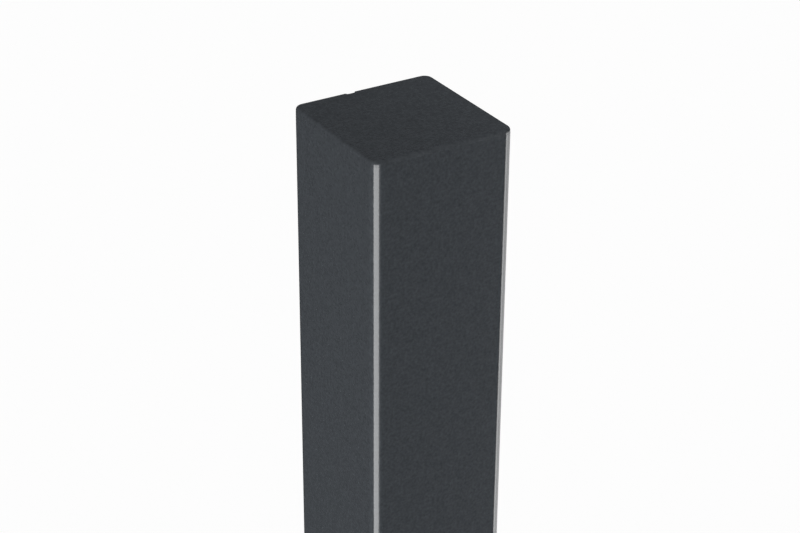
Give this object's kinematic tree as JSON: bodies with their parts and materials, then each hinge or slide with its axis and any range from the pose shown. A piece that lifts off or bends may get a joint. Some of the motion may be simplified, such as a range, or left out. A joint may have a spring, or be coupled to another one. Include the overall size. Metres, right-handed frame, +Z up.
{
  "type": "metal fence post",
  "caption": "Square steel tube fence post with rounded corners, closed at the top by a flush push-in cap and open at the foot, coated in satin anthracite grey.",
  "frame": {"origin": "middle of the foot, on the surface that the post stands on", "axes": "+Z up along the post to its cap; +X and +Y square to the side faces, with the cap's lifting notch on the +Y edge"},
  "size_m": [0.06, 0.06, 1.502],
  "materials": {
    "coated_steel": "satin powder coat in anthracite grey with a fine grain, over galvanised steel",
    "cap_plastic": "moulded plastic in matching anthracite grey with a fine grain"
  },
  "bodies": {
    "root": {"post_tube": "coated_steel", "top_cap": "cap_plastic"}
  },
  "joints": []
}
